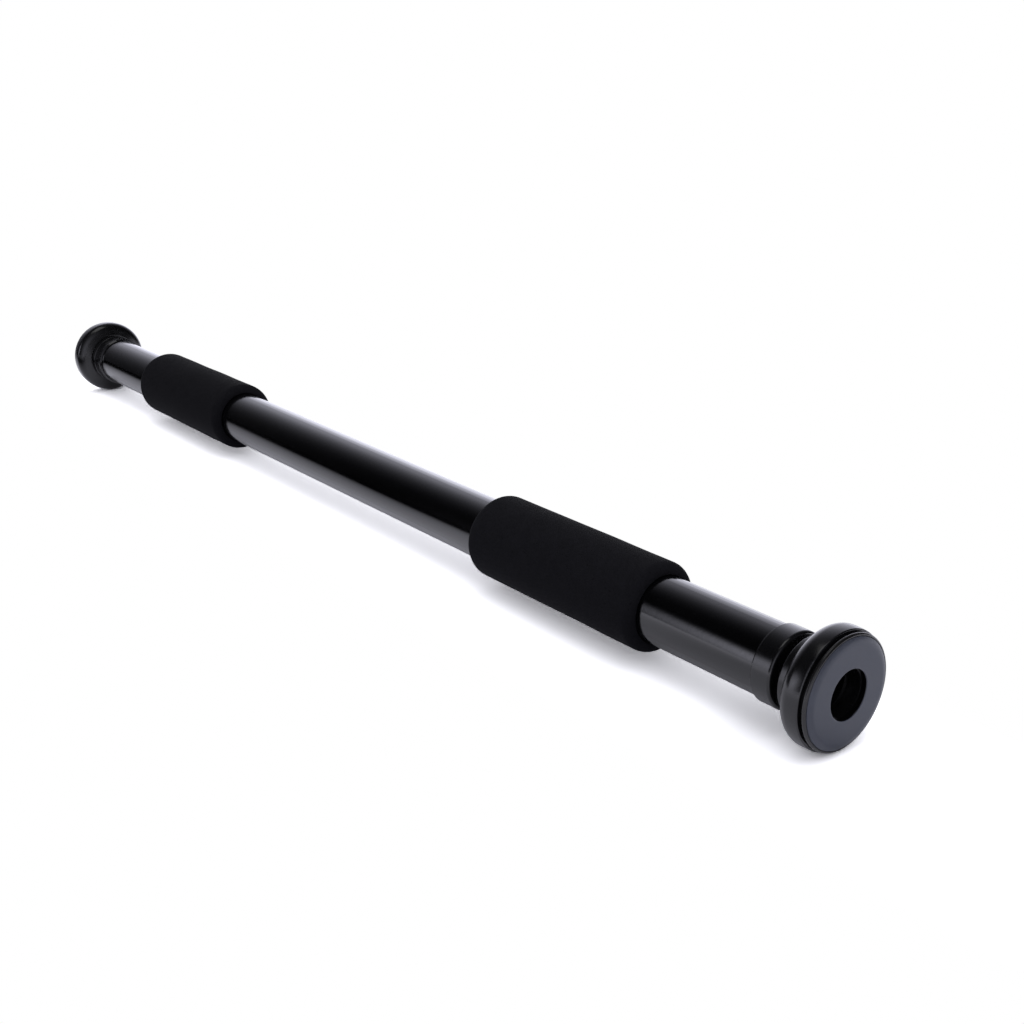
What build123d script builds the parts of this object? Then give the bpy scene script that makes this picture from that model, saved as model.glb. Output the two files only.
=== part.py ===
"""Doorway pull up bar with a screw adjustment, in millimetres.

The bar's axis is the X axis. The origin is the centre of the far foot's jamb face, +X runs
towards the near foot, which the adjusting screw moves, and +Z is up.

A foot stands still on each jamb. The tube between them turns. Its thread nut drives the near
foot's screw out, and a swivel carries the far foot, so that neither pad rubs on its jamb.
"""
from build123d import *
import os

# ---------------------------------------------------------------- driving dimensions

# Tube and foam grips
tube_dia = 32.0
tube_wall = 1.5
tube_length = 667.3
grip_wall = 5.4
grip_length = 118.0
grip_end_round = 4.8
near_grip_start = 73.7  # from the tube's near end
far_grip_start = 86.1  # from the tube's far end

# Foot: one moulding, used at both ends
flange_dia = 52.0
flange_thickness = 10.1  # from the rim's front to the corner that the shoulder rounds
flange_back_rise = 2.0  # how far the back face cones up to the hub
shoulder_round = 6.0
rim_round = 0.5
hub_length = 4.0
hub_groove_width = 1.2
hub_groove_depth = 1.2
hub_edge_round = 0.5
socket_dia = 21.0
socket_depth = 7.0
bolt_recess_dia = 19.0  # below the socket's floor, for the bolt's head and washer
web_thickness = 2.3
seat_depth = 3.0  # hexagonal seat in the hub's back

# Rubber pad
pad_dia = 50.0
pad_thickness = 2.8
pad_hole_dia = 21.6
pad_bevel_length = 2.4  # along the axis
pad_bevel_height = 1.9  # on the radius
pad_crown_round = 5.6  # where the flat ring meets the bevel
pad_rim_round = 0.6
pad_hole_round = 0.6
pad_groove_width = 1.4  # shadow groove between the pad and the flange's rim
pad_groove_depth = 1.8
spigot_inner_dia = 26.4
spigot_wall = 4.0
spigot_length = 4.0

# Moulding pockets behind the pad
pocket_depth = 6.5
pocket_wall = 1.5
rib_count = 12
rib_thickness = 1.6

# End collars on the tube
collar_wall = 1.2  # of the skirt over the tube
collar_end_wall = 3.0
collar_length = 10.7
collar_chamfer = 1.0
collar_mouth_round = 1.5

# Adjusting screw and its nut
screw_dia = 20.0
screw_gap = 3.9  # open gap between the near hub and its collar, as stored
screw_travel = 100.0  # how far the screw can still come out
stop_margin = 1.0  # left between the guide and the nut at full travel
hex_across_flats = 24.0
nut_length = 30.0
guide_length = 10.0
guide_spigot_dia = 14.0

# Swivel at the far end
swivel_dia = 16.0
swivel_tail_dia = 12.0
swivel_tail_length = 12.0
plug_length = 33.0
bush_wall = 1.9
thrust_washer_inset = 0.9  # from the plug's edge

# Bolts, washers, nut and pins
foot_bolt_dia = 8.0
foot_bolt_length = 20.0
guide_bolt_dia = 6.0
guide_bolt_length = 14.0
foot_washer_dia = 18.0
foot_washer_thickness = 1.4
guide_washer_dia = 20.0
guide_washer_thickness = 1.5
retaining_washer_inset = 1.4  # from the plug's edge
retaining_washer_thickness = 2.5
lock_nut_across_flats = 19.0
lock_nut_height = 9.0
pin_dia = 3.0
pin_depth = 2.4  # how far a pin goes into the nut or plug
pin_count = 3
pin_inset = 3.6  # from the tube's end

# Clearances
running = 0.1  # on the radius, where one piece turns or slides on another
fixed = 0.05  # on the radius, where one piece is fitted to another
axial_play = 0.1  # between faces that turn on each other
swivel_gap = 0.5  # between the far hub and the far collar
guide_clearance = 0.3
mouth_clearance = 0.6  # between a collar's mouth and what stands in it

# ---------------------------------------------------------------- derived sizes

tube_r = tube_dia / 2
tube_bore_r = tube_r - tube_wall
flange_r = flange_dia / 2
pad_r = pad_dia / 2
grip_r = tube_r + grip_wall
collar_r = tube_r + collar_wall
hub_r = collar_r  # the hubs line up with the collars
spigot_r = spigot_inner_dia / 2
spigot_outer_r = spigot_r + spigot_wall
groove_r = pad_r - pad_groove_depth
screw_r = screw_dia / 2
swivel_r = swivel_dia / 2
insert_r = tube_bore_r - running  # nut and plug in the tube
swivel_bore_r = swivel_r + running
bush_r = swivel_bore_r + bush_wall
thrust_washer_r = insert_r - thrust_washer_inset
retaining_washer_r = insert_r - retaining_washer_inset

# Stations along a foot, from its jamb face inwards
rim_front = pad_thickness + pad_groove_width
back_corner = rim_front + flange_thickness
cone_end = back_corner + flange_back_rise
hub_front = cone_end + hub_groove_width
foot_length = hub_front + hub_length
seat_floor = foot_length - seat_depth
web_front = seat_floor - web_thickness
socket_floor = pad_thickness + socket_depth

# Stations along the whole bar
far_mouth = foot_length + swivel_gap
tube_start = far_mouth + collar_end_wall
tube_end = tube_start + tube_length
near_mouth = tube_end + collar_end_wall
bar_length = near_mouth + screw_gap + foot_length

# Stations along the near foot and its screw, from the near jamb face inwards
nut_start = bar_length - tube_end
nut_end = nut_start + nut_length
guide_start = nut_end + screw_travel + stop_margin
guide_end = guide_start + guide_length

# ---------------------------------------------------------------- shape helpers


def turned(outline):
    """A body turned about the X axis, from its closed outline of (station, radius) points."""
    return revolve(make_face(Polyline(*outline, close=True)), axis=Axis.X)


def rod(start, end, radius):
    """A round rod along the X axis."""
    placed = Pos(start, 0, 0) * Rot(0, 90, 0)
    return placed * Cylinder(radius, end - start, align=(Align.CENTER, Align.CENTER, Align.MIN))


def ring(start, end, outer_r, bore_r):
    """A plain ring about the X axis."""
    return turned([(start, bore_r), (start, outer_r), (end, outer_r), (end, bore_r)])


def hexagon(start, end, across_flats):
    """A hexagonal bar along the X axis."""
    section = RegularPolygon(across_flats / 2, 6, major_radius=False)
    return extrude(Plane((start, 0, 0), z_dir=(1, 0, 0)) * section, end - start)


def rims(body, station, radius):
    """The circular edges of a turned body at a station and radius."""
    circles = body.edges().filter_by(GeomType.CIRCLE)
    return [
        edge
        for edge in circles
        if abs(edge.arc_center.X - station) < 0.01 and abs(edge.radius - radius) < 0.01
    ]


def rounded(body, station, radius, size):
    """The body with the circular edge at this station and radius rounded."""
    return fillet(rims(body, station, radius), size)


def bevelled(body, station, radius, size):
    """The body with the circular edge at this station and radius chamfered."""
    return chamfer(rims(body, station, radius), size)


def at_near_end(body):
    """Turns a piece made from a jamb face inwards to face the near jamb."""
    return Pos(bar_length, 0, 0) * Rot(0, 0, 180) * body


def radial_pins(station, inner_r, outer_r, radius):
    """Short pins that point out from the axis, evenly spaced around it."""
    pin = Pos(station, 0, inner_r) * Cylinder(
        radius, outer_r - inner_r, align=(Align.CENTER, Align.CENTER, Align.MIN)
    )
    return [Rot(360 * index / pin_count, 0, 0) * pin for index in range(pin_count)]


def cap_bolt(seat, shank_dia, length):
    """A button-head bolt with a hexagon drive. Its shank runs inwards from the seat."""
    head_r = 0.85 * shank_dia
    head_height = 0.48 * shank_dia
    drive = 0.62 * shank_dia
    head = rod(seat - head_height, seat, head_r)
    head = rounded(head, seat - head_height, head_r, 0.6 * head_height)
    shank = bevelled(
        rod(seat, seat + length, shank_dia / 2), seat + length, shank_dia / 2, 0.1 * shank_dia
    )
    return head + shank - hexagon(seat - head_height, seat - 0.3 * head_height, drive)


# ---------------------------------------------------------------- feet


def moulding_pockets():
    """The ring of pockets that the mould leaves behind the pad, with ribs between them."""
    start = pad_thickness
    end = pad_thickness + pocket_depth
    pockets = ring(start, end, groove_r - pocket_wall, spigot_outer_r + fixed + pocket_wall)
    rib = Pos((start + end) / 2, 0, flange_r / 2) * Box(pocket_depth, rib_thickness, flange_r)
    return pockets - [Rot(360 * index / rib_count, 0, 0) * rib for index in range(rib_count)]


def foot_flange():
    """The foot's moulding: socket, rim with a rounded shoulder, coned back and short hub."""
    groove_floor = hub_r - hub_groove_depth
    body = turned(
        [
            (pad_thickness, socket_dia / 2),
            (pad_thickness, groove_r),
            (rim_front, groove_r),
            (rim_front, flange_r),
            (back_corner, flange_r),
            (cone_end, hub_r),
            (cone_end, groove_floor),
            (hub_front, groove_floor),
            (hub_front, hub_r),
            (foot_length, hub_r),
            (foot_length, 0),
            (socket_floor, 0),
            (socket_floor, socket_dia / 2),
        ]
    )
    body = rounded(body, back_corner, flange_r, shoulder_round)
    body = rounded(body, rim_front, flange_r, rim_round)
    body = rounded(body, foot_length, hub_r, hub_edge_round)
    spigot_end = pad_thickness + spigot_length + fixed
    spigot_seat = ring(pad_thickness, spigot_end, spigot_outer_r + fixed, spigot_r - fixed)
    bolt_recess = rod(socket_floor, web_front, bolt_recess_dia / 2)
    bolt_hole = rod(web_front, seat_floor, foot_bolt_dia / 2 + running)
    seat = hexagon(seat_floor, foot_length, hex_across_flats + 2 * fixed)
    return body - spigot_seat - moulding_pockets() - bolt_recess - bolt_hole - seat


def foot_pad():
    """The rubber pad: a bevelled ring with a spigot that presses into the flange."""
    spigot_end = pad_thickness + spigot_length
    body = turned(
        [
            (0, pad_hole_dia / 2),
            (0, pad_r - pad_bevel_height),
            (pad_bevel_length, pad_r),
            (pad_thickness, pad_r),
            (pad_thickness, spigot_outer_r),
            (spigot_end, spigot_outer_r),
            (spigot_end, spigot_r),
            (pad_thickness, spigot_r),
            (pad_thickness, pad_hole_dia / 2),
        ]
    )
    body = rounded(body, 0, pad_r - pad_bevel_height, pad_crown_round)
    body = rounded(body, pad_bevel_length, pad_r, pad_rim_round)
    return rounded(body, 0, pad_hole_dia / 2, pad_hole_round)


def foot_washer():
    """The washer on the web at the bottom of the bolt recess."""
    start = web_front - foot_washer_thickness
    return ring(start, web_front, foot_washer_dia / 2, foot_bolt_dia / 2 + running)


def foot_bolt():
    """The bolt that holds the foot to its screw or swivel shaft."""
    return cap_bolt(web_front - foot_washer_thickness, foot_bolt_dia, foot_bolt_length)


def tapped(end_station, depth, bolt_dia, inwards):
    """The hole that a bolt's thread fills, from an end face inwards or back outwards."""
    far_side = end_station + depth if inwards else end_station - depth
    return rod(min(end_station, far_side), max(end_station, far_side), bolt_dia / 2 + fixed)


# ---------------------------------------------------------------- adjusting screw


def adjusting_screw():
    """The screw: a hexagonal head seated in the foot, a long thread and a spigot."""
    head = hexagon(seat_floor, foot_length, hex_across_flats)
    thread = rod(foot_length, guide_start, screw_r)
    thread = bevelled(thread, guide_start, screw_r, 1.0)
    spigot = rod(guide_start, guide_end, guide_spigot_dia / 2)
    body = head + thread + spigot
    body -= tapped(seat_floor, foot_bolt_length, foot_bolt_dia, True)
    return body - tapped(guide_end, guide_bolt_length, guide_bolt_dia, False)


def screw_guide():
    """The nylon guide that centres the screw in the tube, and stops it coming right out."""
    outer_r = tube_bore_r - guide_clearance
    body = ring(guide_start, guide_end, outer_r, guide_spigot_dia / 2 + fixed)
    body = bevelled(body, guide_start, outer_r, 0.8)
    return bevelled(body, guide_end, outer_r, 0.8)


def guide_washer():
    """The washer that holds the guide on the screw's spigot."""
    end = guide_end + guide_washer_thickness
    return ring(guide_end, end, guide_washer_dia / 2, guide_bolt_dia / 2 + running)


def guide_bolt():
    """The bolt in the screw's inner end. It points back towards the foot."""
    seat = guide_end + guide_washer_thickness
    bolt = cap_bolt(0, guide_bolt_dia, guide_bolt_length)
    return Pos(seat, 0, 0) * Rot(0, 0, 180) * bolt


# ---------------------------------------------------------------- swivel


def swivel_shaft():
    """The far foot's shaft: a hexagonal head like the screw's, a bearing and a thread."""
    shoulder = tube_start + plug_length + axial_play + retaining_washer_thickness
    head = hexagon(seat_floor, foot_length, hex_across_flats)
    bearing = rod(foot_length, shoulder, swivel_r)
    tail = rod(shoulder, shoulder + swivel_tail_length, swivel_tail_dia / 2)
    tail = bevelled(tail, shoulder + swivel_tail_length, swivel_tail_dia / 2, 1.0)
    return head + bearing + tail - tapped(seat_floor, foot_bolt_length, foot_bolt_dia, True)


def retaining_washer():
    """The washer that keeps the tube's plug on the swivel shaft."""
    start = tube_start + plug_length + axial_play
    end = start + retaining_washer_thickness
    return ring(start, end, retaining_washer_r, swivel_r + fixed)


def lock_nut():
    """The nut on the swivel shaft's tail, with a round crown over its locking ring."""
    start = tube_start + plug_length + axial_play + retaining_washer_thickness
    flats_end = start + 0.75 * lock_nut_height
    flats = hexagon(start, flats_end, lock_nut_across_flats)
    flats &= bevelled(
        rod(start, flats_end, 0.56 * lock_nut_across_flats),
        flats_end,
        0.56 * lock_nut_across_flats,
        1.0,
    )
    crown = rod(flats_end, start + lock_nut_height, 0.44 * lock_nut_across_flats)
    return flats + crown - rod(start, start + lock_nut_height, swivel_tail_dia / 2 + fixed)


def swivel_plug():
    """The plug pinned into the tube's far end, bored for its bush."""
    body = ring(tube_start, tube_start + plug_length, insert_r, bush_r)
    holes = radial_pins(tube_start + pin_inset, insert_r - pin_depth, insert_r, pin_dia / 2)
    return body - holes


def swivel_bush():
    """The plain bearing in the plug, which turns on the swivel shaft."""
    return ring(tube_start, tube_start + plug_length, bush_r - fixed, swivel_bore_r)


def thrust_washer():
    """The nylon washer that takes the jamb's push between the far hub and the plug."""
    start = foot_length + axial_play
    return ring(start, tube_start, thrust_washer_r, swivel_r + 2 * running)


# ---------------------------------------------------------------- tube and what turns with it


def main_tube():
    """The steel tube, with holes for the pins near each end."""
    body = ring(tube_start, tube_end, tube_r, tube_bore_r)
    for station in (tube_start + pin_inset, tube_end - pin_inset):
        body -= radial_pins(station, insert_r - pin_depth, tube_r + 1, pin_dia / 2)
    return body


def thread_nut():
    """The steel nut pinned into the tube's near end."""
    start = tube_end - nut_length
    body = ring(start, tube_end, insert_r, screw_r + running)
    holes = radial_pins(tube_end - pin_inset, insert_r - pin_depth, insert_r, pin_dia / 2)
    return body - holes


def tube_pins(station):
    """The pins through the tube's wall into the nut or plug, hidden under a collar."""
    return radial_pins(station, insert_r - pin_depth, tube_r - fixed, pin_dia / 2 - fixed)


def collar(mouth, length, mouth_bore_r, direction):
    """A moulded collar over a tube end. Direction is 1 where the tube lies towards +X."""
    skirt_bore_r = tube_r + fixed
    end = mouth + direction * length
    wall_back = mouth + direction * collar_end_wall
    body = turned(
        [
            (mouth, mouth_bore_r),
            (mouth, collar_r),
            (end - direction * collar_chamfer, collar_r),
            (end, skirt_bore_r + 0.3),
            (end, skirt_bore_r),
            (wall_back, skirt_bore_r),
            (wall_back, mouth_bore_r),
        ]
    )
    return rounded(body, mouth, collar_r, collar_mouth_round)


def foam_grip(start):
    """A foam sleeve with rounded ends."""
    end = start + grip_length
    body = ring(start, end, grip_r, tube_r + running)
    body = rounded(body, start, grip_r, grip_end_round)
    return rounded(body, end, grip_r, grip_end_round)


# ---------------------------------------------------------------- the assembly


def assembly():
    """Every piece by its node's name, in its place."""
    near_grip_place = tube_end - near_grip_start - grip_length
    far_collar_bore = thrust_washer_r + mouth_clearance
    return {
        # the far foot, which stands still on its jamb
        "far_foot": foot_flange(),
        "far_pad": foot_pad(),
        "far_foot_washer": foot_washer(),
        "far_foot_bolt": foot_bolt(),
        "swivel_shaft": swivel_shaft(),
        "retaining_washer": retaining_washer(),
        "lock_nut": lock_nut(),
        # the tube, which the hands turn
        "main_tube": main_tube(),
        "far_grip": foam_grip(tube_start + far_grip_start),
        "near_grip": foam_grip(near_grip_place),
        "far_collar": collar(far_mouth, collar_length, far_collar_bore, 1),
        "near_collar": collar(near_mouth, collar_length, screw_r + mouth_clearance, -1),
        "swivel_plug": swivel_plug(),
        "swivel_bush": swivel_bush(),
        "thrust_washer": thrust_washer(),
        "thread_nut": thread_nut(),
        "plug_pins": tube_pins(tube_start + pin_inset),
        "nut_pins": tube_pins(tube_end - pin_inset),
        # the near foot, which the screw moves along the bar
        "near_foot": at_near_end(foot_flange()),
        "near_pad": at_near_end(foot_pad()),
        "near_foot_washer": at_near_end(foot_washer()),
        "near_foot_bolt": at_near_end(foot_bolt()),
        "adjusting_screw": at_near_end(adjusting_screw()),
        "screw_guide": at_near_end(screw_guide()),
        "guide_washer": at_near_end(guide_washer()),
        "guide_bolt": at_near_end(guide_bolt()),
    }


os.makedirs("parts", exist_ok=True)
for name, piece in assembly().items():
    if isinstance(piece, list):
        piece = Compound(children=piece)
    export_step(piece, f"parts/{name}.step")
print(f"bar length {bar_length:.1f} mm, tube from {tube_start:.1f} to {tube_end:.1f}")
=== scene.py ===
# %% [markdown]
# # A doorway pull up bar
#
# A doorway bar is a steel tube with a foot at each end. The feet press on the two jambs of a
# door frame, and a long screw inside one end pushes them apart when the tube is turned.
# The parts come ready made as a fixed frame, so this lesson dresses them: it lays finishes on
# the hard parts, crowns the rims of the feet, makes the foam sleeves, the jamb pads and the
# screw thread as new surfaces, and sets up a small studio around the bar.

# %% Load the bar
import math

import bmesh
import bpy
import numpy as np
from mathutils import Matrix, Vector


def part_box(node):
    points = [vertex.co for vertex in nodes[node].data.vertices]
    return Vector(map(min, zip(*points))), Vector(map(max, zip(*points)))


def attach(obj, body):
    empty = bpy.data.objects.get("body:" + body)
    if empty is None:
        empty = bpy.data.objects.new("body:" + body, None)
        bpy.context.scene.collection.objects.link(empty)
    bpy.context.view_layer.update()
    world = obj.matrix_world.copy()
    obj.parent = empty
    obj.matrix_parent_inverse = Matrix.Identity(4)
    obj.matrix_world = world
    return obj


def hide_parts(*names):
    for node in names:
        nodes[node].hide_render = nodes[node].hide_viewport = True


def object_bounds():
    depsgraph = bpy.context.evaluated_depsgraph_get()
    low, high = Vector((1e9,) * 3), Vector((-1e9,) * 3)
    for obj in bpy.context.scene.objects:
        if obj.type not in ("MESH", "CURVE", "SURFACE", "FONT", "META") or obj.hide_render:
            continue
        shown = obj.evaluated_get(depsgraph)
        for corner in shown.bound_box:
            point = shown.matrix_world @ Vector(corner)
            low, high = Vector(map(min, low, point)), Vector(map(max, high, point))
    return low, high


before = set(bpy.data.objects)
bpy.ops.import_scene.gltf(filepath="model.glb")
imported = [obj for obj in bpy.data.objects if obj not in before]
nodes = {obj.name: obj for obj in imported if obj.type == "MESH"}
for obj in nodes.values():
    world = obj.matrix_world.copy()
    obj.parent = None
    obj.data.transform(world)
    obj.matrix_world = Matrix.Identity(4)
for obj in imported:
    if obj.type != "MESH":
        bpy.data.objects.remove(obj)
cad_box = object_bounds()
print("pieces in the frame:", len(nodes))

# %% [markdown]
# ## Where things are
#
# Most places in this lesson are read from the bar itself. The bar lies along the X axis, with
# the far foot's jamb face at the origin and the near foot at the high end, so a few boxes give
# the main stations and radii. Lengths are in metres, and MM turns millimetres into metres.

# %% Measure the bar
MM = 0.001


def span(node):
    """The lowest and highest station of a piece along the bar."""
    low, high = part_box(node)
    return low.x, high.x


def widest(node):
    """The largest radius of a round piece about the X axis."""
    low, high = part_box(node)
    return (high.y - low.y) / 2


bar_end = cad_box[1].x
floor_level = cad_box[0].z
tube_radius = widest("main_tube")
print(f"bar {bar_end / MM:.1f} mm long, tube {2 * tube_radius / MM:.0f} mm across")

# %% [markdown]
# ## Tools for surfaces
#
# A sleeve or a screw thread is a surface of two parameters: one runs along an outline, the
# other runs round the bar. Both are worked out as whole arrays, a grid of points, and the
# grid becomes a mesh in one go. That is quicker than adding points one by one, and the
# formula stays in sight.

# %% A grid of points becomes a mesh


def skin(name, grid, closed_rows, closed_columns):
    """A mesh with a vertex at each grid point and a face between four neighbours.

    A closed direction joins its last line of points to its first one.
    """
    rows, columns = grid.shape[:2]
    row = np.arange(rows if closed_rows else rows - 1)
    column = np.arange(columns if closed_columns else columns - 1)
    row, column = np.meshgrid(row, column, indexing="ij")
    next_row = (row + 1) % rows
    next_column = (column + 1) % columns
    corners = [
        row * columns + column,
        row * columns + next_column,
        next_row * columns + next_column,
        next_row * columns + column,
    ]
    faces = np.stack(corners, axis=-1).reshape(-1, 4)
    mesh = bpy.data.meshes.new(name)
    mesh.from_pydata(grid.reshape(-1, 3).tolist(), [], faces.tolist())
    mesh.polygons.foreach_set("use_smooth", np.ones(len(faces), dtype=bool))
    piece = bpy.data.objects.new(name, mesh)
    bpy.context.scene.collection.objects.link(piece)
    return piece


def turned(outline, steps):
    """Grid of an outline turned about the X axis.

    A point (station, radius) at angle a goes to (station, radius cos a, radius sin a).
    """
    angle = np.linspace(0, 2 * np.pi, steps, endpoint=False)
    station = outline[:, :1] * np.ones_like(angle)
    y = outline[:, 1:] * np.cos(angle)
    z = outline[:, 1:] * np.sin(angle)
    return np.stack([station, y, z], axis=-1)


# %% Tidy a mesh


def settle(piece, gap=1e-7):
    """Merges doubled points, drops faces without an area, and turns every face outwards."""
    work = bmesh.new()
    work.from_mesh(piece.data)
    bmesh.ops.remove_doubles(work, verts=work.verts, dist=gap)
    bmesh.ops.dissolve_degenerate(work, edges=work.edges, dist=gap)
    bmesh.ops.recalc_face_normals(work, faces=work.faces)
    work.to_mesh(piece.data)
    work.free()
    return piece


# %% [markdown]
# ## Tools for finishes
#
# A finish is a small tree of nodes. The helpers below add a node with its settings in one
# line, and give the patterns that every finish on this bar uses: grain of a stated size, a
# value spread between two ends, and relief of a stated height. All patterns read Object
# coordinates, so they stay on the piece when it turns or slides.

# %% Node helpers


def add(tree, kind, inputs=None, **settings):
    """Adds a node. Settings are its properties, and inputs are values or other sockets."""
    node = tree.nodes.new(kind)
    for name, value in settings.items():
        setattr(node, name, value)
    for name, value in (inputs or {}).items():
        if isinstance(value, bpy.types.NodeSocket):
            tree.links.new(value, node.inputs[name])
        else:
            node.inputs[name].default_value = value
    return node


def calculate(tree, operation, first, second=0.0, third=0.0):
    """One step of arithmetic on sockets or numbers."""
    inputs = {0: first, 1: second, 2: third}
    return add(tree, "ShaderNodeMath", inputs, operation=operation).outputs[0]


def place(tree):
    """Object coordinates, in metres from the origin of the frame."""
    return add(tree, "ShaderNodeTexCoord").outputs["Object"]


def grain(tree, size, detail=2.0, roughness=0.5, stretch=(1, 1, 1)):
    """Noise from 0 to 1 whose features are about size metres across."""
    mapping = add(tree, "ShaderNodeMapping", {"Vector": place(tree), "Scale": stretch})
    inputs = {
        "Vector": mapping.outputs[0],
        "Scale": 1 / size,
        "Detail": detail,
        "Roughness": roughness,
    }
    return add(tree, "ShaderNodeTexNoise", inputs).outputs[0]


def spread(tree, value, low, high, start=0.0, end=1.0):
    """Carries value from start..end to low..high, and holds it at the ends."""
    inputs = {"Value": value, "From Min": start, "From Max": end, "To Min": low, "To Max": high}
    return add(tree, "ShaderNodeMapRange", inputs).outputs[0]


def blend_colours(tree, share, first, second):
    """The first colour where share is 0 and the second where it is 1."""
    mix = add(tree, "ShaderNodeMix", data_type="RGBA")
    tree.links.new(share, mix.inputs["Factor"])
    for socket, colour in (("A", first), ("B", second)):
        target = [s for s in mix.inputs if s.name == socket and s.type == "RGBA"][0]
        if isinstance(colour, bpy.types.NodeSocket):
            tree.links.new(colour, target)
        else:
            target.default_value = (*colour, 1)
    return [s for s in mix.outputs if s.type == "RGBA"][0]


def relief(tree, height, depth, under=None):
    """A bump of depth metres between height 0 and 1, laid over another bump if given."""
    inputs = {"Height": height, "Distance": depth, "Strength": 1.0}
    if under is not None:
        inputs["Normal"] = under
    return add(tree, "ShaderNodeBump", inputs).outputs[0]


def from_axis(tree):
    """Station along the bar and distance from the bar's axis, in metres."""
    parts = add(tree, "ShaderNodeSeparateXYZ", {0: place(tree)})
    flat = add(tree, "ShaderNodeCombineXYZ", {"Y": parts.outputs["Y"], "Z": parts.outputs["Z"]})
    away = add(tree, "ShaderNodeVectorMath", {0: flat.outputs[0]}, operation="LENGTH")
    return parts.outputs["X"], away.outputs["Value"]


def fine_rings(tree, distance, pitch):
    """Rings from 0 to 1, one to each pitch of the distance."""
    turns = calculate(tree, "MULTIPLY", distance, 2 * math.pi / pitch)
    return calculate(tree, "MULTIPLY_ADD", calculate(tree, "SINE", turns), 0.5, 0.5)


def near_edge(tree, station, radius, reach):
    """1 on the round edge at this station and radius, fading to 0 at reach metres away."""
    along, away = from_axis(tree)
    dx = calculate(tree, "SUBTRACT", along, station)
    dr = calculate(tree, "SUBTRACT", away, radius)
    squares = calculate(tree, "MULTIPLY_ADD", dx, dx, calculate(tree, "MULTIPLY", dr, dr))
    return spread(tree, calculate(tree, "SQRT", squares), 1.0, 0.0, 0.0, reach)


def new_finish(name):
    """An empty finish: its material, its node tree and its shader."""
    material = bpy.data.materials.new(name)
    material.use_nodes = True
    tree = material.node_tree
    shader = tree.nodes["Principled BSDF"]
    return material, tree, shader


def apply_finish(material, *names):
    """Puts a finish on whole pieces of the frame."""
    for name in names:
        piece = nodes[name]
        piece.data.materials.clear()
        piece.data.materials.append(material)
    print(material.name, "on", ", ".join(names))


# %% [markdown]
# ## The tube's paint
#
# The tube is powder coated in gloss black. Powder melts into a skin that is never quite
# flat: it has low, rounded waves a millimetre or two across, called orange peel. They are
# far too low to see as bumps, yet they soften the edge of each reflection. Two sizes of
# noise give the waves, the roughness drifts a little where hands have rubbed the tube, and
# the colour stays almost black, because what is seen on such a tube is the studio around it.

# %% Gloss black powder coat
RUBBED_PATCH = 60 * MM
PEEL_WAVE = 2.2 * MM
PEEL_RIPPLE = 1.1 * MM
DUST_SPECK = 0.8 * MM
PAINT_DARK = (0.0005, 0.0005, 0.0007)
PAINT_PALE = (0.0012, 0.0012, 0.0016)
PAINT_DUST = (0.02, 0.02, 0.022)


def powder_coat():
    """Almost black paint with orange peel, rubbed patches and specks of dust."""
    material, tree, shader = new_finish("gloss_powder_coat")
    rubbed = grain(tree, RUBBED_PATCH, 3, 0.6, (0.35, 1, 1))
    fine = grain(tree, PEEL_RIPPLE, 3, 0.55)
    colour = blend_colours(tree, rubbed, PAINT_DARK, PAINT_PALE)
    dust = spread(tree, grain(tree, DUST_SPECK, 1, 0.4), 0.0, 1.0, 0.78, 0.86)
    dusty = blend_colours(tree, dust, colour, PAINT_DUST)
    tree.links.new(dusty, shader.inputs["Base Color"])
    gloss = spread(tree, rubbed, 0.085, 0.13, 0.3, 0.7)
    gloss = calculate(tree, "MULTIPLY_ADD", fine, 0.04, gloss)
    tree.links.new(gloss, shader.inputs["Roughness"])
    waves = relief(tree, grain(tree, PEEL_WAVE, 1, 0.5), 0.008 * MM)
    waves = relief(tree, fine, 0.006 * MM, waves)
    tree.links.new(waves, shader.inputs["Normal"])
    shader.inputs["IOR"].default_value = 1.52
    return material


apply_finish(powder_coat(), "main_tube")

# %% [markdown]
# ## Moulded feet and collars
#
# The feet and collars are injection moulded in black plastic. The mould is spark eroded, so
# the skin has a very fine even grain and a satin shine. Corners that are handled wear
# smooth first and catch a brighter line of light. These corners are also painted paler,
# partly as wear and partly as a painted highlight along them. Each edge is a circle at a
# known station and radius, so the wear and the painted highlight can be drawn from the
# distance to that circle.

# %% Satin black plastic
BLACK = (0.0038, 0.0038, 0.0046)
FLOW_MARK = 9 * MM
SPARK_GRAIN = 0.22 * MM
EDGE_WEAR_AND_HIGHLIGHT_REACH = 1.3 * MM
RIM_CORNER = 1.4 * MM
RIM_BACK = 9.6 * MM
HUB_WALL = 1.2 * MM


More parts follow.
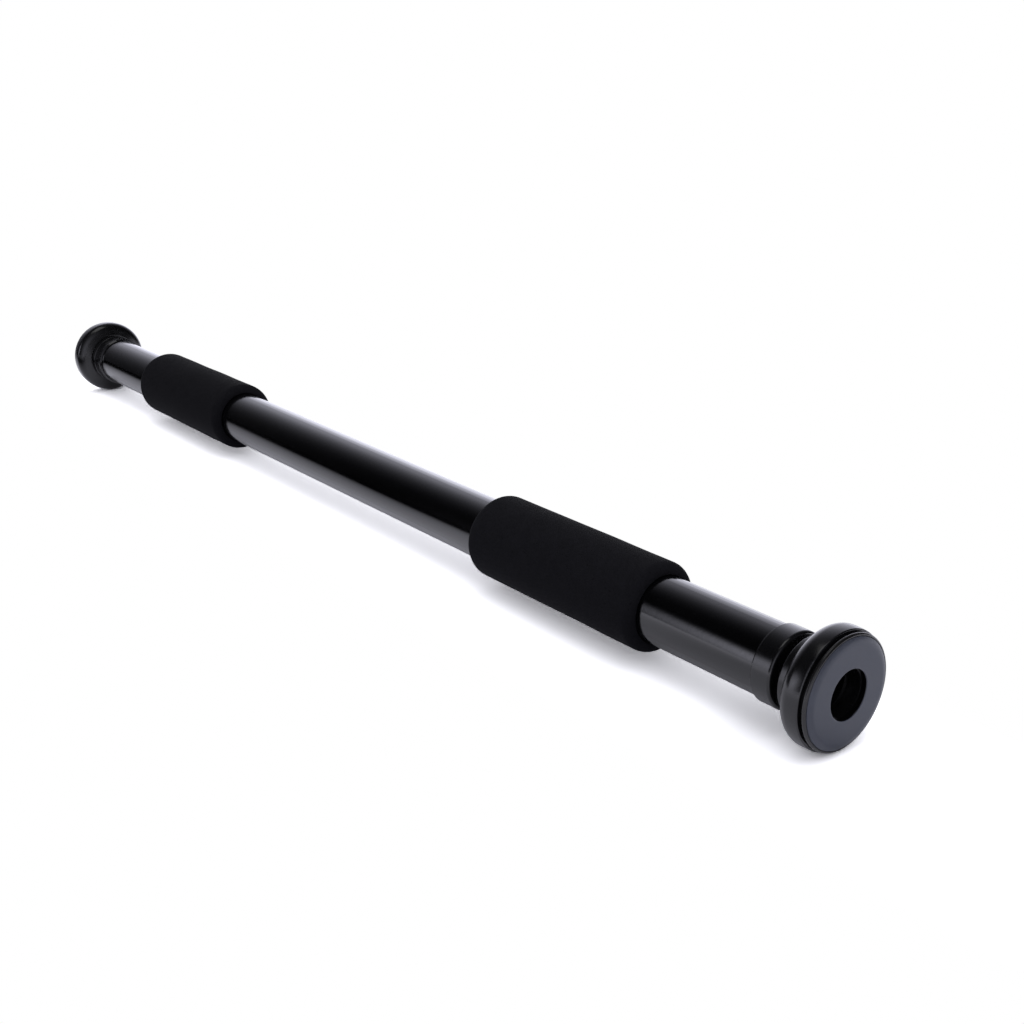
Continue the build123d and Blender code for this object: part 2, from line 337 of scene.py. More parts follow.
def moulded_plastic(name, edges, sheen_low, sheen_high):
    """Satin plastic with spark grain, faint flow marks, and wear with a painted highlight on the
    given edges.
    """
    material, tree, shader = new_finish(name)
    cloud = grain(tree, FLOW_MARK, 3, 0.5)
    spark = grain(tree, SPARK_GRAIN, 2, 0.6)
    darker = tuple(0.6 * value for value in BLACK)
    colour = blend_colours(tree, cloud, darker, BLACK)
    worn_edge_and_highlight = 0.0
    for station, radius in edges:
        worn_edge_and_highlight = calculate(tree, "MAXIMUM", worn_edge_and_highlight, near_edge(tree, station, radius, EDGE_WEAR_AND_HIGHLIGHT_REACH))
    patchy_wear_and_highlight = calculate(tree, "MULTIPLY", worn_edge_and_highlight, spread(tree, cloud, 0.3, 1.0, 0.35, 0.65))
    # The edges are painted paler: partly wear, partly a painted highlight.
    pale_wear_and_highlight = tuple(4.0 * value for value in BLACK)
    colour = blend_colours(tree, calculate(tree, "MULTIPLY", patchy_wear_and_highlight, 0.5), colour, pale_wear_and_highlight)
    tree.links.new(colour, shader.inputs["Base Color"])
    gloss = spread(tree, cloud, sheen_low, sheen_high, 0.3, 0.7)
    gloss = calculate(tree, "MULTIPLY_ADD", patchy_wear_and_highlight, -0.08, gloss)
    tree.links.new(gloss, shader.inputs["Roughness"])
    skin_relief = relief(tree, spark, 0.006 * MM)
    skin_relief = relief(tree, cloud, 0.006 * MM, skin_relief)
    tree.links.new(skin_relief, shader.inputs["Normal"])
    return material


def foot_edges(node, inwards):
    """Three round edges of a foot: the rim's front and back, and the hub's end.

    Inwards is 1 where the bar lies towards +X.
    """
    low, high = span(node)
    front, hub_end = (low, high) if inwards > 0 else (high, low)
    rim_radius = widest(node)
    return [
        (front + inwards * RIM_CORNER, rim_radius),
        (front + inwards * RIM_BACK, rim_radius),
        (hub_end, tube_radius + HUB_WALL),
    ]


# %% [markdown]
# ## Crowned rims
#
# The rim of a foot isn't a plain cylinder. It falls away towards the jamb by a few tenths of a
# millimetre, so that it leaves its mould easily, and this spreads the light on it into a soft
# band. The foot's own mesh is copied and merged, its rim is cut into narrow rings, and each
# ring is brought in along a parabola. Depths are counted from the jamb face: the crown's top,
# where the rim stays as it is, and the rim's front, where it is brought in most.

# %% Feet with crowned rims
CROWN_TOP = 8.6 * MM
RIM_FRONT = 4.2 * MM
CROWN_DEPTH = 0.30 * MM
CROWN_CUTS = 12
RIM_SKIN = 0.6 * MM
SAME_POINT = 1e-6


def crowned_foot(name, node, body, face, inwards):
    """A copy of a foot with a crowned rim. Inwards is 1 where the bar lies towards +X.

    Radius = old radius minus the crown's depth times the square of the share of the way
    from the crown's top to the front of the rim.
    """
    work = bmesh.new()
    work.from_mesh(nodes[node].data)
    bmesh.ops.remove_doubles(work, verts=work.verts, dist=SAME_POINT)
    cut = {"plane_no": (1, 0, 0), "dist": SAME_POINT}
    for depth in np.linspace(RIM_FRONT, CROWN_TOP, CROWN_CUTS)[1:]:
        everything = work.verts[:] + work.edges[:] + work.faces[:]
        centre = (face + inwards * depth, 0, 0)
        bmesh.ops.bisect_plane(work, geom=everything, plane_co=centre, **cut)
    work.verts.index_update()
    points = np.array([vertex.co for vertex in work.verts])
    faces = [[vertex.index for vertex in triangle.verts] for triangle in work.faces]
    work.free()
    radius = np.hypot(points[:, 1], points[:, 2])
    depth = np.abs(points[:, 0] - face)
    short_of = np.clip((CROWN_TOP - depth) / (CROWN_TOP - RIM_FRONT), 0, 1)
    on_rim = (radius > widest(node) - RIM_SKIN) & (depth > RIM_FRONT - 0.1 * MM)
    brought_in = CROWN_DEPTH * short_of**2 * on_rim
    points[:, 1:] *= 1 - (brought_in / np.maximum(radius, MM))[:, None]
    mesh = bpy.data.meshes.new(name)
    mesh.from_pydata(points.tolist(), [], faces)
    mesh.polygons.foreach_set("use_smooth", np.ones(len(faces), dtype=bool))
    mesh.set_sharp_from_angle(angle=math.radians(28))
    piece = bpy.data.objects.new(name, mesh)
    bpy.context.scene.collection.objects.link(piece)
    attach(piece, body)
    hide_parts(node)
    return piece


for side, face, inwards in (("far", 0.0, 1), ("near", bar_end, -1)):
    foot = f"{side}_foot"
    piece = crowned_foot(f"{side}_crowned_foot", foot, f"{side}_foot_body", face, inwards)
    finish = moulded_plastic(f"satin_plastic_{foot}", foot_edges(foot, inwards), 0.17, 0.24)
    piece.data.materials.append(finish)
    print(piece.name, "has", len(piece.data.polygons), "faces")

# %% Collars
for collar in ("far_collar", "near_collar"):
    low, high = span(collar)
    edges = [(low, widest(collar)), (high, widest(collar))]
    finish = moulded_plastic(f"satin_plastic_{collar}", edges, 0.15, 0.21)
    apply_finish(finish, collar)

# %% [markdown]
# ## Steel, bronze and nylon inside
#
# Most of the mechanism is out of sight, but the bolt heads can be seen down the holes in the
# feet, and the rest shows when the bar is taken apart. Turned steel has fine rings around
# the axis, plating is a little cloudy, and bronze and nylon each have their own shine.

# %% Metals and nylon
TURNING_FEED = 0.3 * MM
METAL_CLOUD = 4 * MM
SCRATCH = 0.4 * MM


def turned_metal(name, colour, gloss, metal):
    """Metal or nylon with turning rings, a cloudy surface and fine scratches."""
    material, tree, shader = new_finish(name)
    along, away = from_axis(tree)
    rings = fine_rings(tree, calculate(tree, "ADD", along, away), TURNING_FEED)
    cloud = grain(tree, METAL_CLOUD, 4, 0.65)
    dull = tuple(0.65 * value for value in colour)
    tree.links.new(blend_colours(tree, cloud, dull, colour), shader.inputs["Base Color"])
    roughness = spread(tree, cloud, 0.8 * gloss, 1.25 * gloss, 0.3, 0.7)
    tree.links.new(roughness, shader.inputs["Roughness"])
    marks = relief(tree, rings, 0.002 * MM)
    marks = relief(tree, grain(tree, SCRATCH, 2, 0.6, (0.2, 1, 1)), 0.004 * MM, marks)
    tree.links.new(marks, shader.inputs["Normal"])
    shader.inputs["Metallic"].default_value = metal
    return material


black_steel = turned_metal("black_oxide_steel", (0.05, 0.05, 0.053), 0.34, 1.0)
zinc = turned_metal("zinc_plate", (0.52, 0.53, 0.55), 0.3, 1.0)
bronze = turned_metal("sintered_bronze", (0.50, 0.34, 0.17), 0.42, 1.0)
nylon = turned_metal("natural_nylon", (0.70, 0.69, 0.64), 0.45, 0.0)
apply_finish(black_steel, "far_foot_bolt", "near_foot_bolt", "far_foot_washer", "near_foot_washer")
apply_finish(black_steel, "swivel_shaft", "swivel_plug", "thread_nut")
apply_finish(zinc, "guide_bolt", "guide_washer", "lock_nut", "retaining_washer")
apply_finish(zinc, "plug_pins", "nut_pins")
apply_finish(bronze, "swivel_bush")
apply_finish(nylon, "screw_guide", "thrust_washer")

# %% [markdown]
# ## Foam grips
#
# Each grip is a sleeve of closed-cell foam rubber, slid on wet and left to tighten. Its ends
# are ground round, its mouth is a little open round the tube, and its wall is never quite
# even. A closed outline with rounded corners, turned about the bar, gives the sleeve without
# any seam or pole. Slow waves then move the outside by a tenth of a millimetre or so, and
# the cells of the foam are left to the finish.

# %% A rounded outline


def rounded_outline(corners, rounds, step):
    """A closed outline through corners, each one rounded by its own radius.

    The outline goes round the corners in order. A corner becomes an arc that touches both
    sides, and each straight side is divided into pieces of about one step.
    """
    arc_points = 9
    corners = np.asarray(corners, dtype=float)
    before = np.roll(corners, 1, axis=0) - corners
    after = np.roll(corners, -1, axis=0) - corners
    before /= np.linalg.norm(before, axis=1, keepdims=True)
    after /= np.linalg.norm(after, axis=1, keepdims=True)
    pieces = []
    for index, size in enumerate(rounds):
        turn = np.arccos(np.clip(before[index] @ after[index], -1, 1))
        reach = size / np.tan(turn / 2)
        start = corners[index] + before[index] * reach
        end = corners[index] + after[index] * reach
        middle = before[index] + after[index]
        centre = corners[index] + middle / np.linalg.norm(middle) * size / np.sin(turn / 2)
        share = np.linspace(0, 1, arc_points)[:, None]
        sweep = np.pi - turn
        first, last = start - centre, end - centre
        arc = (np.sin((1 - share) * sweep) * first + np.sin(share * sweep) * last) / np.sin(sweep)
        pieces.append(centre + arc)
        following = (index + 1) % len(corners)
        next_turn = np.arccos(np.clip(before[following] @ after[following], -1, 1))
        target = corners[following] + before[following] * rounds[following] / np.tan(next_turn / 2)
        count = max(2, int(round(np.linalg.norm(target - end) / step)) + 1)
        pieces.append(np.linspace(end, target, count)[1:-1])
    return np.concatenate(pieces)


# %% The sleeve
BORE_GAP = 0.1 * MM
MOUTH_ROUND = 0.5 * MM
END_ROUND = 4.8 * MM
WAVES = 5
WAVE_HEIGHT = 0.16 * MM


def foam_sleeve(name, node, seed):
    """A foam sleeve in the place of a plain one.

    Radius = outline radius plus height times the mean of a few slow waves, each one a cosine
    of whole turns round the bar and a few lengths along it. The waves fade out at the bore.
    """
    start, end = span(node)
    outer = widest(node)
    bore = tube_radius + BORE_GAP
    corners = [(start, bore), (start, outer), (end, outer), (end, bore)]
    rounds = [MOUTH_ROUND, END_ROUND, END_ROUND, MOUTH_ROUND]
    grid = turned(rounded_outline(corners, rounds, step=1.5 * MM), steps=160)
    station, y, z = grid[..., 0], grid[..., 1], grid[..., 2]
    radius = np.hypot(y, z)
    angle = np.arctan2(z, y)
    chance = np.random.default_rng(seed)
    along = chance.uniform(0.5, 5.0, WAVES)[:, None, None]
    around = chance.integers(1, 6, WAVES)[:, None, None]
    offset = chance.uniform(0, 2 * np.pi, WAVES)[:, None, None]
    share = (station - start) / (end - start)
    waves = np.cos(2 * np.pi * along * share + around * angle + offset).mean(axis=0)
    outside = np.clip((radius - bore) / (outer - bore), 0, 1) ** 2
    uneven = radius + WAVE_HEIGHT * waves * outside
    grid = np.stack([station, uneven * np.cos(angle), uneven * np.sin(angle)], axis=-1)
    piece = settle(skin(name, grid, True, True))
    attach(piece, "tube_body")
    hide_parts(node)
    print(name, "has", len(piece.data.polygons), "faces")
    return piece


grips = [
    foam_sleeve("near_foam_sleeve", "near_grip", seed=11),
    foam_sleeve("far_foam_sleeve", "far_grip", seed=29),
]

# %% [markdown]
# ## The foam's finish
#
# Closed-cell foam has a skin of burst bubbles, each a few tenths of a millimetre wide. Light
# goes into them and hardly comes out, so the foam is the darkest and mattest part of the
# bar. Cell noise gives the bubbles, a softer noise makes them uneven, and a touch of sheen
# stands for the fuzz of torn cell walls.

# %% Closed-cell foam
CELL = 0.55 * MM
PIT = 0.9 * MM
MOTTLE = 5 * MM
FOAM_DARK = (0.0022, 0.0022, 0.0033)
FOAM_PALE = (0.0086, 0.0085, 0.0112)
FOAM_CELL = (0.0092, 0.0092, 0.0117)
FOAM_PIT = (0.002, 0.002, 0.0026)


def closed_cell_foam():
    """Matt foam rubber with small cells, pits and a slightly mottled colour."""
    material, tree, shader = new_finish("closed_cell_foam")
    inputs = {"Vector": place(tree), "Scale": 1 / CELL}
    cells = add(tree, "ShaderNodeTexVoronoi", inputs, feature="SMOOTH_F1").outputs["Distance"]
    mottle = grain(tree, MOTTLE, 4, 0.6)
    pits = spread(tree, grain(tree, PIT, 2, 0.5), 0.0, 1.0, 0.62, 0.78)
    colour = blend_colours(tree, mottle, FOAM_DARK, FOAM_PALE)
    colour = blend_colours(tree, spread(tree, cells, 0.0, 0.6), colour, FOAM_CELL)
    colour = blend_colours(tree, pits, colour, FOAM_PIT)
    tree.links.new(colour, shader.inputs["Base Color"])
    tree.links.new(spread(tree, mottle, 0.82, 0.95), shader.inputs["Roughness"])
    surface = relief(tree, mottle, 0.15 * MM)
    surface = relief(tree, cells, 0.05 * MM, surface)
    surface = relief(tree, pits, -0.06 * MM, surface)
    tree.links.new(surface, shader.inputs["Normal"])
    shader.inputs["Specular IOR Level"].default_value = 0.05
    shader.inputs["Sheen Weight"].default_value = 0.025
    shader.inputs["Sheen Roughness"].default_value = 0.3
    return material


foam = closed_cell_foam()
for grip in grips:
    grip.data.materials.append(foam)
print("foam on", len(grips), "grips")

# %% [markdown]
# ## Jamb pads
#
# A pad is a disc of dark slate rubber pressed into a hard black rim. The rubber is crowned
# a little towards its edge, so that it beds down evenly, and a fine seam parts it from the
# rim. The rim is a plain rounded bead. All of this is one outline turned about the bar,
# with crisp corners at the seam, and with the spigot behind it that holds it in the foot.

# %% The pad's outline, in millimetres
HOLE = 10.8
LIP_ROUND = 0.5
PAD_BACK = 2.8
SPIGOT_INSIDE = 13.2
SPIGOT_OUTSIDE = 17.2
SPIGOT_END = 6.8
CROWN_ARC = 5.6
CROWN_WIDTH = 4.6
BEAD = 1.0


def arc(centre, size, start, end, steps):
    """Points on a circle from one angle to another, in degrees from the X axis."""
    angle = np.radians(np.linspace(start, end, steps))
    return np.stack([centre[0] + size * np.cos(angle), centre[1] + size * np.sin(angle)], axis=-1)


def line(start, end, steps):
    """Points from start towards end, without the end itself."""
    share = np.linspace(0, 1, steps, endpoint=False)[:, None]
    return (1 - share) * np.array(start) + share * np.array(end)


def pad_outline(radius):
    """Depth behind the jamb face and radius, in millimetres, round the pad's section.

    The face is flat from the hole's lip to the crown, an arc that falls away to the seam. The
    seam is a narrow notch, and the bead of the rim rises from it.
    """
    crown_start = radius - CROWN_WIDTH
    seam_edge = (1.15, radius - 1.27)
    seam_floor = (1.75, radius - 1.35)
    bead_foot = (1.40, radius - 1.00)
    bead_centre = (2.2, radius - BEAD)
    bead_end = (PAD_BACK, radius - 0.25)
    pieces = [
        line((PAD_BACK, HOLE), (LIP_ROUND, HOLE), 3),
        arc((LIP_ROUND, HOLE + LIP_ROUND), LIP_ROUND, 270, 180, 9),
        line((0.0, HOLE + LIP_ROUND + 0.1), (0.0, crown_start), 8),
        arc((CROWN_ARC, crown_start), CROWN_ARC, 180, 143.5, 14),
        line(seam_edge, seam_floor, 3),
        line(seam_floor, bead_foot, 3),
        arc(bead_centre, BEAD, 180, 60, 14),
        line(bead_end, (PAD_BACK, SPIGOT_OUTSIDE), 4),
        line((PAD_BACK, SPIGOT_OUTSIDE), (SPIGOT_END, SPIGOT_OUTSIDE), 3),
        line((SPIGOT_END, SPIGOT_OUTSIDE), (SPIGOT_END, SPIGOT_INSIDE), 3),
        line((SPIGOT_END, SPIGOT_INSIDE), (PAD_BACK, SPIGOT_INSIDE), 3),
        line((PAD_BACK, SPIGOT_INSIDE), (PAD_BACK, HOLE), 3),
    ]
    return np.concatenate(pieces)


# %% The pads


def jamb_pad(name, node, body, face, inwards):
    """A pad in the place of a plain one. Inwards is 1 where the bar lies towards +X."""
    outline = pad_outline(widest(node) / MM) * MM
    outline[:, 0] = face + inwards * outline[:, 0]
    piece = settle(skin(name, turned(outline, steps=180), True, True))
    piece.data.set_sharp_from_angle(angle=math.radians(32))
    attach(piece, body)
    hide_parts(node)
    print(name, "has", len(piece.data.polygons), "faces")
    return piece


pads = [
    jamb_pad("near_jamb_pad", "near_pad", "near_foot_body", bar_end, -1),
    jamb_pad("far_jamb_pad", "far_pad", "far_foot_body", 0.0, 1),
]

# %% [markdown]
# ## Rubber and its rim
#
# Rubber scatters light widely, so the disc looks paler than the plastic beside it. Its face
# keeps faint rings from the turned mould, a fine matt tooth, and a little chalky dust that
# comes with any rubber part. The rim and the edge of the hole are harder and smoother, and
# show as narrow lines of light. The wall of the hole is painted near black, as painted shade
# deep in the hole. One finish covers them all, and tells them apart by the distance from the
# axis.

# %% Slate rubber
SEAM = 1.2 * MM
MOULD_RINGS = 0.45 * MM
TOOTH = 0.16 * MM
RUBBER_CLOUD = 7 * MM
SPECK = 0.5 * MM
SLATE_DARK = (0.033, 0.038, 0.058)
SLATE_PALE = (0.043, 0.049, 0.072)
SLATE_SPECK = (0.07, 0.074, 0.095)
BORE_PAINTED_SHADE = (0.0015, 0.0015, 0.002)
RIM_DARK = (0.0034, 0.0032, 0.0034)
RIM_PALE = (0.0052, 0.0050, 0.0052)


def slate_rubber(radius):
    """Matt rubber with mould rings, tooth and chalk, in a satin black rim, and painted shade on
    the wall of the hole.
    """
    material, tree, shader = new_finish("slate_rubber")
    away = from_axis(tree)[1]
    rim = spread(tree, away, 0.0, 1.0, radius - SEAM, radius - SEAM + 0.08 * MM)
    lip = spread(tree, away, 1.0, 0.0, (HOLE + 0.4) * MM, (HOLE + 0.8) * MM)
    bore = spread(tree, away, 1.0, 0.0, (HOLE + 0.02) * MM, (HOLE + 0.15) * MM)
    rings = fine_rings(tree, away, MOULD_RINGS)
    tooth = grain(tree, TOOTH, 3, 0.65)
    cloud = grain(tree, RUBBER_CLOUD, 4, 0.6)
    chalk = spread(tree, cloud, 0.0, 1.0, 0.35, 0.75)
    colour = blend_colours(tree, chalk, SLATE_DARK, SLATE_PALE)
    specks = spread(tree, grain(tree, SPECK, 1, 0.5), 0.0, 0.5, 0.7, 0.8)
    colour = blend_colours(tree, specks, colour, SLATE_SPECK)
    # Painted shade: the wall of the hole is made near black.
    colour = blend_colours(tree, bore, colour, BORE_PAINTED_SHADE)
    colour = blend_colours(tree, rim, colour, blend_colours(tree, cloud, RIM_DARK, RIM_PALE))
    tree.links.new(colour, shader.inputs["Base Color"])
    gloss = spread(tree, chalk, 0.38, 0.48)
    gloss = calculate(tree, "MULTIPLY_ADD", rim, -0.16, gloss)
    gloss = calculate(tree, "MULTIPLY_ADD", lip, -0.14, gloss)
    gloss = calculate(tree, "MULTIPLY_ADD", bore, -0.12, gloss)
    tree.links.new(gloss, shader.inputs["Roughness"])
    face = relief(tree, rings, 0.002 * MM)
    face = relief(tree, tooth, 0.010 * MM, face)
    tree.links.new(face, shader.inputs["Normal"])
    return material


rubber = slate_rubber(widest("near_pad"))
for pad in pads:
    pad.data.materials.append(rubber)
print("rubber on", len(pads), "pads")

# %% [markdown]
# ## The adjusting screw
#
# The near foot stands on a 20 mm screw with a 5 mm pitch. Its thread is trapezoidal, with
# flat crests and roots, as jacks and vices have. The surface has two parameters: the angle
# t that winds along the whole screw, and a place p across one groove. A point lies at
# station = pitch (t / one turn + p), so that the end of one turn meets the start of the
# next, and its radius is read from the thread's profile at p.

# %% Thread, head and spigot
PITCH = 5 * MM
CREST_RADIUS = 10 * MM
ROOT_RADIUS = 7.6 * MM
HEAD_RADIUS = 13.8 * MM
SPIGOT_RADIUS = 6.9 * MM


def thread_surface(start, end, pitch, crest, root, steps):
    """A right-hand trapezoidal thread from start to end along the X axis.

    Station = start + pitch (t / 2 pi + p - 1), held between start and end, and the radius
    goes from root to crest and back as p goes from 0 to 1.
    """
    share = np.array([0.0, 0.30, 0.52, 0.78, 1.0])
    radius = np.array([root, root, crest, crest, root])
    turns = int(np.ceil((end - start) / pitch)) + 1
    angle = np.linspace(0, 2 * np.pi * turns, turns * steps + 1)
    station = start + pitch * (angle[:, None] / (2 * np.pi) + share - 1)
    station = np.clip(station, start, end)
    y = radius * np.cos(angle)[:, None]
    z = radius * np.sin(angle)[:, None]
    return np.stack([station, y, z], axis=-1)


def capped_rod(name, start, end, radius, sides):
    """A closed rod about the X axis, round or with a few flat sides."""
    outline = np.array([(start, 0), (start, radius), (end, radius), (end, 0)], dtype=float)
    return skin(name, turned(outline, sides), False, True)


def adjusting_screw():
    """The screw from its hexagonal head in the foot to the spigot under its guide."""
    low, high = span("adjusting_screw")
    guide = span("screw_guide")[1]
    hub = span("near_foot")[0]
    thread = thread_surface(guide, hub, PITCH, CREST_RADIUS, ROOT_RADIUS, steps=40)
    pieces = [
        skin("adjusting_screw_thread", thread, False, False),
        capped_rod("screw_head", hub, high, HEAD_RADIUS, sides=6),
        capped_rod("screw_spigot", low, guide, SPIGOT_RADIUS, sides=48),
    ]
    with bpy.context.temp_override(active_object=pieces[0], selected_editable_objects=pieces):
        bpy.ops.object.join()
    screw = settle(pieces[0])
    screw.data.set_sharp_from_angle(angle=math.radians(25))
    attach(screw, "near_foot_body")
    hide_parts("adjusting_screw")
    screw.data.materials.clear()
    screw.data.materials.append(black_steel)
    return screw


screw = adjusting_screw()
print("screw has", len(screw.data.polygons), "faces")

# %% [markdown]
# ## Camera
#
# The bar is seen from a little above its near end, close enough that the far foot looks much
# smaller than the near one. The camera stands at a fixed place in the frame, in metres, and is
# turned by its azimuth and its height above the horizon, in degrees.

# %% Set the camera
CAMERA_PLACE = (0.99868, -0.38744, 0.24397)
AZIMUTH = 51.50
HEIGHT = 20.18
FOCAL_LENGTH = 46.88
SENSOR = 36


def aim(azimuth, height):
    """Unit vector from the camera into the scene. Azimuth 0 looks along +Y, 90 along -X."""
    across = math.radians(azimuth)
    down = math.radians(height)
    flat = math.cos(down)
    return Vector((-math.sin(across) * flat, math.cos(across) * flat, -math.sin(down)))


lens = bpy.data.cameras.new("studio_camera")
lens.sensor_width = SENSOR
lens.lens = FOCAL_LENGTH
lens.clip_start = 0.01
lens.clip_end = 60
camera = bpy.data.objects.new("studio_camera", lens)
bpy.context.scene.collection.objects.link(camera)
camera.location = CAMERA_PLACE
camera.rotation_mode = "QUATERNION"
camera.rotation_quaternion = aim(AZIMUTH, HEIGHT).to_track_quat("-Z", "Y")
bpy.context.scene.camera = camera
print("camera looks along", tuple(round(value, 3) for value in aim(AZIMUTH, HEIGHT)))
bpy.context.scene.view_settings.view_transform = "Standard"

# %% [markdown]
# ## The room in a mirror
#
# The tube is almost a mirror, so its look is that of the room around it. The room is drawn as
# soft patches of light in given directions: a wide one behind the bar, a weaker one opposite,
# and a tall narrow side light, made of three patches one above the other.

# %% Patches of light
BACKDROP = (-0.78, 0.61, 0.12)
BACK_OF_ROOM = (0.74, -0.66, 0.13)
SIDE_LIGHT = [(-0.55, -0.83, height) for height in (0.05, 0.18, 0.30)]
WIDE = 5
NARROW = 170


def patch(tree, direction, towards, sharpness, brightness):
    """A soft round patch of light: brightness times the cosine to towards, to a power."""
    inputs = {0: direction, 1: Vector(towards).normalized()}
    cosine = add(tree, "ShaderNodeVectorMath", inputs, operation="DOT_PRODUCT").outputs["Value"]
    cosine = calculate(tree, "MAXIMUM", cosine, 0.0)
    return calculate(tree, "MULTIPLY", calculate(tree, "POWER", cosine, sharpness), brightness)


def studio(tree, direction):
    """What a mirror sees of the room: the backdrop, its twin opposite, and the side light."""
    light = patch(tree, direction, BACKDROP, WIDE, 2.0)
    light = calculate(tree, "ADD", light, patch(tree, direction, BACK_OF_ROOM, WIDE, 1.1))
    for part in SIDE_LIGHT:
        light = calculate(tree, "ADD", light, patch(tree, direction, part, NARROW, 2.0))
    return light


# %% [markdown]
# ## Floor
#
# The bar lies on a white sheet. Near the bar the sheet is an ordinary matt white, so it
# takes the soft shadow and lights the bar from below. Further out it goes over into plain
# white, so that it meets the white background with no line. The near foot can slide out, and
# the matt part reaches as far as it can go. The lamp alone leaves the sheet a little too
# bright beside the near end, so a painted shadow makes it a shade greyer there, and greyer
# again close by the near foot.
#
# A mirror-like tube shows the sheet too, and what it shows is set apart from what the camera
# sees. In front of the bar the sheet soon ends and the tube stays black, except that a strip
# of it runs on beyond the near end. Behind the bar the sheet runs up to a bright backdrop,
# and right under the bar and beside its near end a painted shade makes it darker.

# %% Where the floor is white, dark or matt
TRAVEL = 100 * MM
STRIP_WIDTH = 0.10
STRIP_SLANT = 0.77
STRIP_GROWTH = 4000.0
STRIP_POWER = 14.0
FOOT_MIDDLE = bar_end - 31 * MM


def ray_kinds(tree):
    """Two shares: 1 for rays from the camera, and 1 for rays from a shiny surface."""
    path = add(tree, "ShaderNodeLightPath").outputs
    seen = calculate(tree, "MAXIMUM", path["Is Camera Ray"], path["Is Transmission Ray"])
    return seen, path["Is Glossy Ray"]


def only_for(tree, rays, value):
    """The value for rays of one kind, and 1 for all others."""
    less_one = calculate(tree, "SUBTRACT", value, 1.0)
    return calculate(tree, "MULTIPLY_ADD", rays, less_one, 1.0)


def distance_to(tree, value, middle):
    """How far a value is from the middle, on either side."""
    return calculate(tree, "ABSOLUTE", calculate(tree, "SUBTRACT", value, middle))


def front_strip(tree, along, across):
    """1 on the sheet behind the bar and in a strip before it, fading to 0 in front of that.

    Its width is STRIP_WIDTH + STRIP_GROWTH s ^ STRIP_POWER, where s = along - STRIP_SLANT
    across, so that it opens widely past the near end.
    """
    before_bar = calculate(tree, "MULTIPLY", across, -1.0)
    slanted = calculate(tree, "MULTIPLY_ADD", before_bar, STRIP_SLANT, along)
    steep = calculate(tree, "POWER", calculate(tree, "MAXIMUM", slanted, 0.0), STRIP_POWER)
    width = calculate(tree, "MULTIPLY_ADD", steep, STRIP_GROWTH, STRIP_WIDTH)
    return spread(tree, calculate(tree, "DIVIDE", before_bar, width), 1.0, 0.0, 0.10, 1.15)


def painted_shade_in_mirror(tree, along, across):
    """Painted shade in the mirror: darker right under the bar and beside its near end."""
    under_bar = spread(tree, distance_to(tree, across, 0.0), 0.62, 1.0, 2 * MM, 10 * MM)
    by_near_end = spread(tree, along, 1.0, 0.62, 0.45, 0.62)
    return calculate(tree, "MULTIPLY", under_bar, by_near_end)


def painted_shadow_by_near_foot(tree, along, across):
    """Painted shadow: a shade greyer beside the near end, and greyer again close by the near foot.
    """
    beside = spread(tree, along, 1.0, 0.89, 0.40, 0.60)
    from_foot = distance_to(tree, along, FOOT_MIDDLE)
    close_by = spread(tree, from_foot, 0.84, 1.0, 8 * MM, 36 * MM)
    further_out = spread(tree, distance_to(tree, across, 0.0), 0.0, 1.0, 16 * MM, 38 * MM)
    return calculate(tree, "MULTIPLY", beside, calculate(tree, "MAXIMUM", close_by, further_out))


def distance_from_bar(tree, along, across):
    """Distance on the floor from the bar's line, which runs on by the near foot's travel."""
    middle = (bar_end + TRAVEL) / 2
    past_end = calculate(tree, "SUBTRACT", distance_to(tree, along, middle), middle)
    past_end = calculate(tree, "MAXIMUM", past_end, 0.0)
    squares = calculate(tree, "MULTIPLY", across, across)
    squares = calculate(tree, "MULTIPLY_ADD", past_end, past_end, squares)
    return calculate(tree, "SQRT", squares)


# %% White floor
PAPER = 0.5
PAPER_SEEN = 2.15
PAPER_MIRRORED = 1.5
ROOM_MIRRORED = 1.8
FLOOR_REACH = 6.0


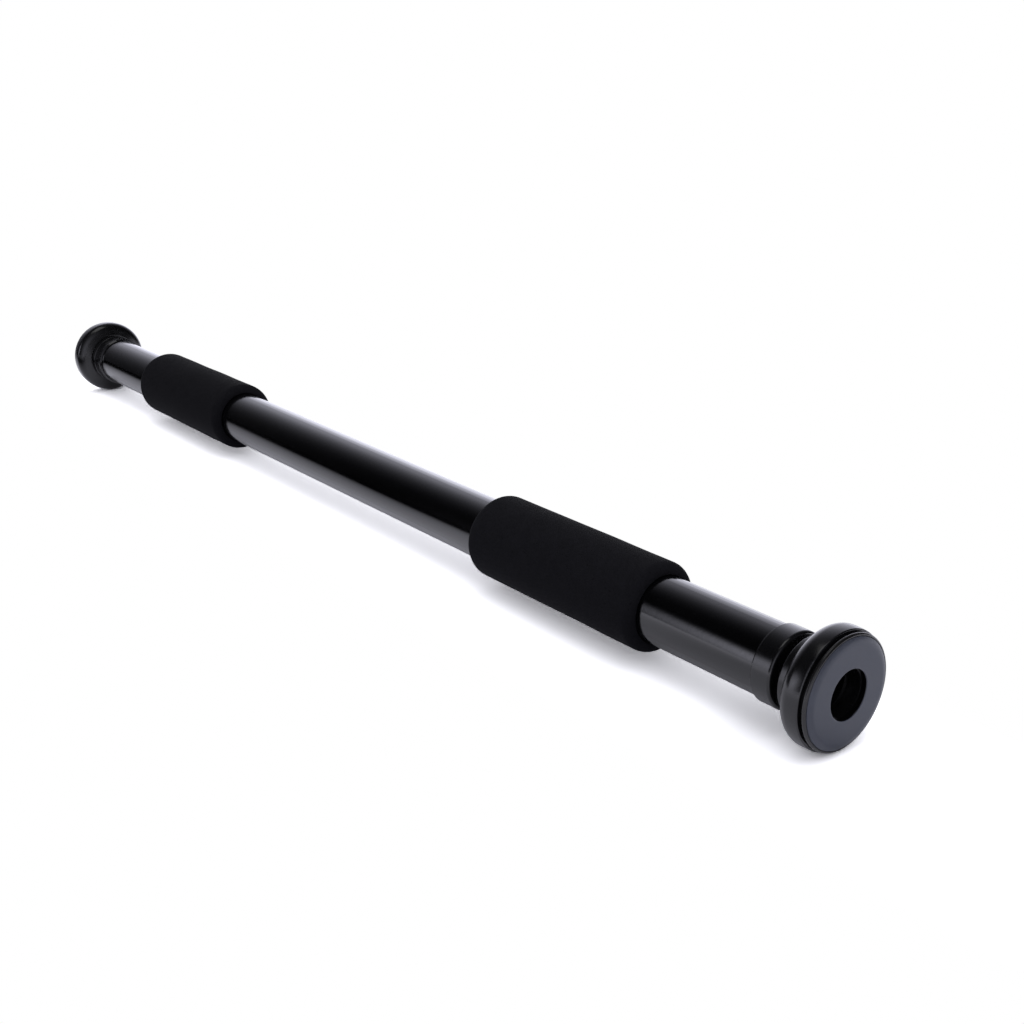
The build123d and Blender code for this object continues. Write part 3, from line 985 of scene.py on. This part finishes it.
def floor_finish():
    """White paper that keeps its shadow near the bar and is plain white far from it."""
    material, tree, shader = new_finish("white_paper")
    tree.nodes.remove(shader)
    output = tree.nodes["Material Output"]
    where = add(tree, "ShaderNodeNewGeometry").outputs["Position"]
    parts = add(tree, "ShaderNodeSeparateXYZ", {0: where})
    along, across = parts.outputs["X"], parts.outputs["Y"]
    seen, mirrored = ray_kinds(tree)

    still_white = front_strip(tree, along, across)
    brightness = calculate(tree, "MULTIPLY_ADD", seen, PAPER_SEEN - PAPER, PAPER)
    brightness = calculate(tree, "MULTIPLY_ADD", mirrored, PAPER_MIRRORED - PAPER, brightness)
    brightness = calculate(tree, "MULTIPLY", brightness, only_for(tree, mirrored, still_white))
    # Painted shade in reflections of the sheet, under the bar and beside its near end.
    painted_mirror_shade = only_for(tree, mirrored, painted_shade_in_mirror(tree, along, across))
    # Painted shadow on the sheet beside the near end and the near foot, for the camera.
    painted_floor_shadow = only_for(tree, seen, painted_shadow_by_near_foot(tree, along, across))
    shade = calculate(tree, "MULTIPLY", painted_mirror_shade, painted_floor_shadow)
    brightness = calculate(tree, "MULTIPLY", brightness, shade)
    cool = calculate(tree, "MULTIPLY_ADD", mirrored, 0.06, 1.06)
    blue = calculate(tree, "MULTIPLY", brightness, cool)
    white = {"Red": brightness, "Green": brightness, "Blue": blue}
    colour = add(tree, "ShaderNodeCombineColor", white).outputs[0]
    paper = add(tree, "ShaderNodeBsdfDiffuse", {"Color": colour})

    distance = distance_from_bar(tree, along, across)
    far_share = spread(tree, distance, 0.0, 1.0, 0.15, 0.40)
    past_shadow = spread(tree, distance, 0.0, 1.0, 26 * MM, 62 * MM)
    past_shadow = calculate(tree, "MULTIPLY", past_shadow, seen)
    far_share = calculate(tree, "MAXIMUM", far_share, past_shadow)
    lit_room = calculate(tree, "MULTIPLY", still_white, ROOM_MIRRORED)
    strength = add(tree, "ShaderNodeMix", {"Factor": mirrored, "A": seen, "B": lit_room})
    room_white = blend_colours(tree, mirrored, (1.0, 1.0, 1.0), (0.97, 0.97, 1.09))
    inputs = {"Color": room_white, "Strength": strength.outputs[0]}
    plain_white = add(tree, "ShaderNodeEmission", inputs)

    inputs = {0: far_share, 1: paper.outputs[0], 2: plain_white.outputs[0]}
    mixed = add(tree, "ShaderNodeMixShader", inputs)
    tree.links.new(mixed.outputs[0], output.inputs["Surface"])
    material.cycles.emission_sampling = "NONE"
    return material


corners = [
    (bar_end / 2 + FLOOR_REACH * x, FLOOR_REACH * y, floor_level)
    for x, y in ((-1, -1), (1, -1), (1, 1), (-1, 1))
]
sheet = bpy.data.meshes.new("floor")
sheet.from_pydata(corners, [], [(0, 1, 2, 3)])
floor = bpy.data.objects.new("floor", sheet)
bpy.context.scene.collection.objects.link(floor)
sheet.materials.append(floor_finish())
print(f"floor at {floor_level / MM:.1f} mm")

# %% [markdown]
# ## Light
#
# A wide soft lamp hangs over the bar, a little in front of it, and the room adds an even light
# from all sides. The world shows plain white to the camera, an even grey to matt surfaces, and
# the room's patches of light to shiny ones.

# %% The world
EVEN_LIGHT = 0.88

world = bpy.data.worlds.new("studio_room")
bpy.context.scene.world = world
world.use_nodes = True
sky = world.node_tree
background = sky.nodes["Background"]
seen, mirrored = ray_kinds(sky)
direction = add(sky, "ShaderNodeTexCoord").outputs["Generated"]
inputs = {"Factor": mirrored, "A": EVEN_LIGHT, "B": studio(sky, direction)}
light = add(sky, "ShaderNodeMix", inputs).outputs[0]
strength = add(sky, "ShaderNodeMix", {"Factor": seen, "A": light, "B": 1.0})
sky.links.new(strength.outputs[0], background.inputs["Strength"])
tint = blend_colours(sky, mirrored, (1.0, 1.0, 1.0), (0.955, 0.955, 1.10))
sky.links.new(tint, background.inputs["Color"])
print("world is white to the camera")

# %% The lamp


def soft_lamp(name, place_at, aim_at, width, depth, power):
    """A rectangular soft lamp that faces a point."""
    lamp = bpy.data.lights.new(name, "AREA")
    lamp.shape = "RECTANGLE"
    lamp.size = width
    lamp.size_y = depth
    lamp.energy = power
    holder = bpy.data.objects.new(name, lamp)
    bpy.context.scene.collection.objects.link(holder)
    holder.location = place_at
    holder.rotation_mode = "QUATERNION"
    holder.rotation_quaternion = (Vector(aim_at) - Vector(place_at)).to_track_quat("-Z", "Y")


soft_lamp(
    "overhead_lamp",
    place_at=(0.5, -0.35, 3.2),
    aim_at=(0.36, 0.0, 0.0),
    width=2.2,
    depth=1.6,
    power=14.0,
)
print("one lamp")
